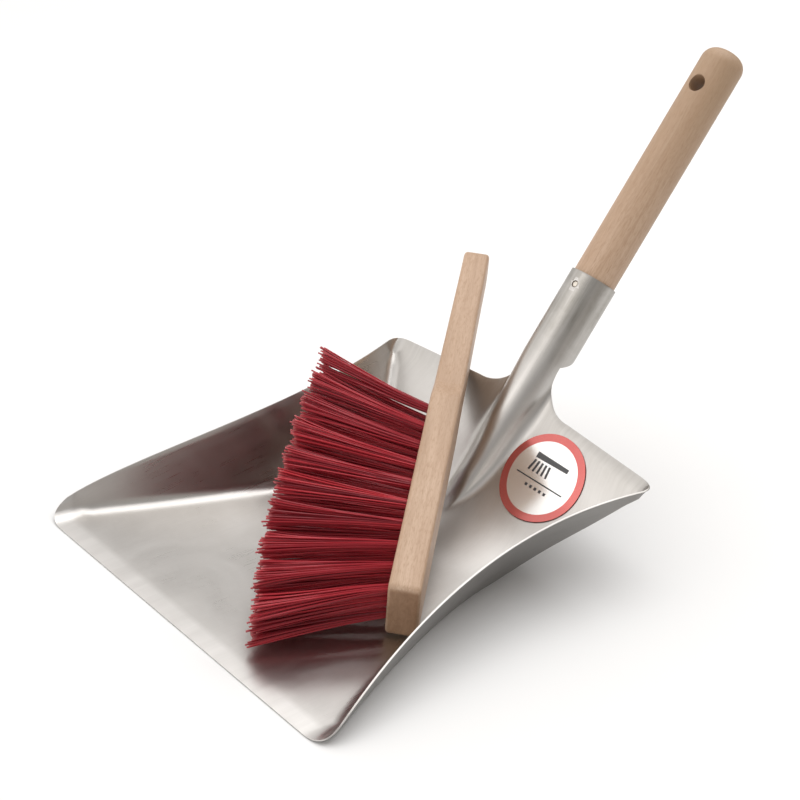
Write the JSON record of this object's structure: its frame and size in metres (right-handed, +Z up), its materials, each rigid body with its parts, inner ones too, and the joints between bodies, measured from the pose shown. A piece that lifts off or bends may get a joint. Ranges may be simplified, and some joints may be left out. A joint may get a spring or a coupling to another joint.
{
  "type": "dustpan and brush",
  "caption": "Pressed steel dustpan with a wooden socket handle and a wooden hand brush with stiff red bristles lying in it.",
  "frame": {"origin": "middle of the underside of the pan's flat floor", "axes": "+X from the lip towards the handle, +Z up, the pan symmetrical about the XZ plane"},
  "size_m": [0.3856, 0.239, 0.2528],
  "materials": {
    "pan_sheet": "satin rolled sheet with fine brushing",
    "pan_handle": "plain sanded beech",
    "handle_pin": "plain nail",
    "label": "thin film sticker, red ring round a silvery middle",
    "brush_block": "plain sanded beech",
    "tuft_01_1": "crimson synthetic bristle",
    "tuft_01_2": "crimson synthetic bristle",
    "tuft_01_3": "crimson synthetic bristle",
    "tuft_02_1": "crimson synthetic bristle",
    "tuft_02_2": "crimson synthetic bristle",
    "tuft_02_3": "crimson synthetic bristle",
    "tuft_03_1": "crimson synthetic bristle",
    "tuft_03_2": "crimson synthetic bristle",
    "tuft_03_3": "crimson synthetic bristle",
    "tuft_04_1": "crimson synthetic bristle",
    "tuft_04_2": "crimson synthetic bristle",
    "tuft_04_3": "crimson synthetic bristle",
    "tuft_05_1": "crimson synthetic bristle",
    "tuft_05_2": "crimson synthetic bristle",
    "tuft_05_3": "crimson synthetic bristle",
    "tuft_06_1": "crimson synthetic bristle",
    "tuft_06_2": "crimson synthetic bristle",
    "tuft_06_3": "crimson synthetic bristle",
    "tuft_07_1": "crimson synthetic bristle",
    "tuft_07_2": "crimson synthetic bristle",
    "tuft_07_3": "crimson synthetic bristle",
    "tuft_08_1": "crimson synthetic bristle",
    "tuft_08_2": "crimson synthetic bristle",
    "tuft_08_3": "crimson synthetic bristle",
    "tuft_09_1": "crimson synthetic bristle",
    "tuft_09_2": "crimson synthetic bristle",
    "tuft_09_3": "crimson synthetic bristle",
    "tuft_10_1": "crimson synthetic bristle",
    "tuft_10_2": "crimson synthetic bristle",
    "tuft_10_3": "crimson synthetic bristle"
  },
  "bodies": {
    "pan": {"pan_sheet": "pan_sheet", "pan_handle": "pan_handle", "handle_pin": "handle_pin", "label": "label"},
    "brush": {"brush_block": "brush_block", "tuft_01_1": "tuft_01_1", "tuft_01_2": "tuft_01_2", "tuft_01_3": "tuft_01_3", "tuft_02_1": "tuft_02_1", "tuft_02_2": "tuft_02_2", "tuft_02_3": "tuft_02_3", "tuft_03_1": "tuft_03_1", "tuft_03_2": "tuft_03_2", "tuft_03_3": "tuft_03_3", "tuft_04_1": "tuft_04_1", "tuft_04_2": "tuft_04_2", "tuft_04_3": "tuft_04_3", "tuft_05_1": "tuft_05_1", "tuft_05_2": "tuft_05_2", "tuft_05_3": "tuft_05_3", "tuft_06_1": "tuft_06_1", "tuft_06_2": "tuft_06_2", "tuft_06_3": "tuft_06_3", "tuft_07_1": "tuft_07_1", "tuft_07_2": "tuft_07_2", "tuft_07_3": "tuft_07_3", "tuft_08_1": "tuft_08_1", "tuft_08_2": "tuft_08_2", "tuft_08_3": "tuft_08_3", "tuft_09_1": "tuft_09_1", "tuft_09_2": "tuft_09_2", "tuft_09_3": "tuft_09_3", "tuft_10_1": "tuft_10_1", "tuft_10_2": "tuft_10_2", "tuft_10_3": "tuft_10_3"}
  },
  "joints": [
    {"name": "brush_lift", "type": "slide", "parent": "pan", "child": "brush", "axis": [0, 0, 1], "range_m": [0, 0.2]}
  ]
}
